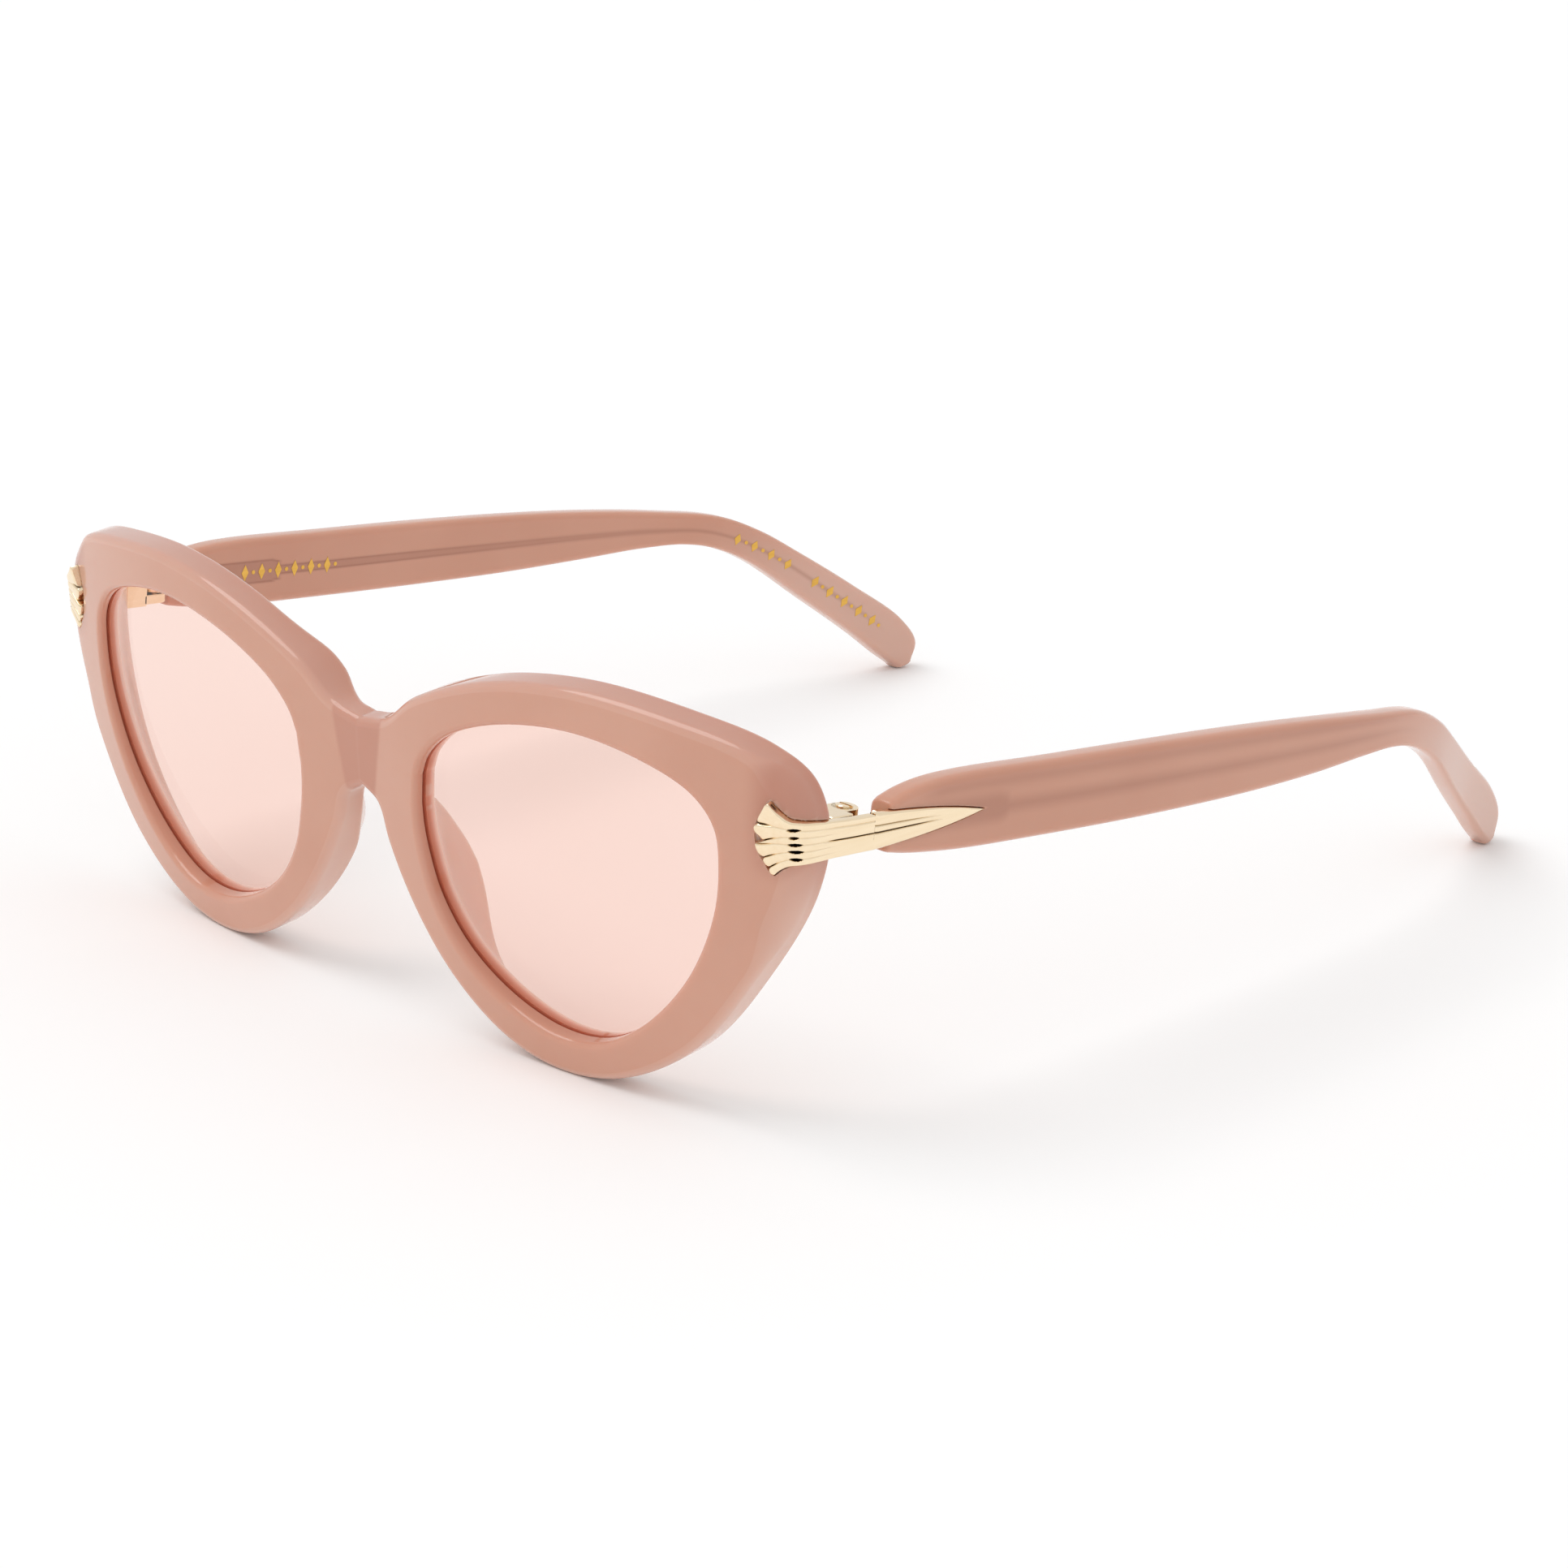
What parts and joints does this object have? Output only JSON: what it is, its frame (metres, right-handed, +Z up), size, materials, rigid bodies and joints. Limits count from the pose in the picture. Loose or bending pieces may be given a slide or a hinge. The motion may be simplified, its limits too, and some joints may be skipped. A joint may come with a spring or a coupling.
{
  "type": "cat eye sunglasses",
  "caption": "Cat eye sunglasses: curved translucent acetate front, rose tinted lenses, gold fan plaques round the corners, folding temples with wire cores.",
  "frame": {"origin": "on the surface that the glasses stand on, under the middle of their bounding box", "axes": "+Z up, +X to the wearer's left across the front, +Y back along the temples"},
  "size_m": [0.141, 0.1598, 0.0498],
  "materials": {
    "acetate": "polished translucent dusty rose acetate",
    "lens": "pale rose tint, polished",
    "gold": "polished pale gold plating",
    "steel": "drawn wire and pins"
  },
  "bodies": {
    "front": {"front_frame": "acetate", "lens_left": "lens", "lens_right": "lens", "nose_pad_left": "acetate", "nose_pad_right": "acetate", "front_plaque_left": "gold", "front_plaque_right": "gold", "fan_pin_left_lower": "steel", "fan_pin_right_lower": "steel", "fan_pin_left_upper": "steel", "fan_pin_right_upper": "steel", "hinge_front_leaf_left": "gold", "hinge_front_leaf_right": "gold", "hinge_screw_left": "gold", "hinge_screw_right": "gold", "leaf_stud_left_upper": "steel", "leaf_stud_right_upper": "steel", "leaf_stud_left_lower": "steel", "leaf_stud_right_lower": "steel"},
    "left_temple": {"temple_left": "acetate", "temple_core_left": "steel", "hinge_temple_leaf_left": "gold", "temple_plaque_left": "gold", "temple_rivet_left_front": "steel", "temple_rivet_left_rear": "steel"},
    "right_temple": {"temple_right": "acetate", "temple_core_right": "steel", "hinge_temple_leaf_right": "gold", "temple_plaque_right": "gold", "temple_rivet_right_front": "steel", "temple_rivet_right_rear": "steel"}
  },
  "joints": [
    {"name": "left_temple_fold", "type": "hinge", "parent": "front", "child": "left_temple", "pos_m": [0.065, -0.06105, 0.0365], "axis": [0, 0.0837, 0.9965], "range_deg": [0, 88]},
    {"name": "right_temple_fold", "type": "hinge", "parent": "front", "child": "right_temple", "pos_m": [-0.065, -0.06105, 0.0365], "axis": [0, -0.0837, -0.9965], "range_deg": [0, 75]}
  ]
}
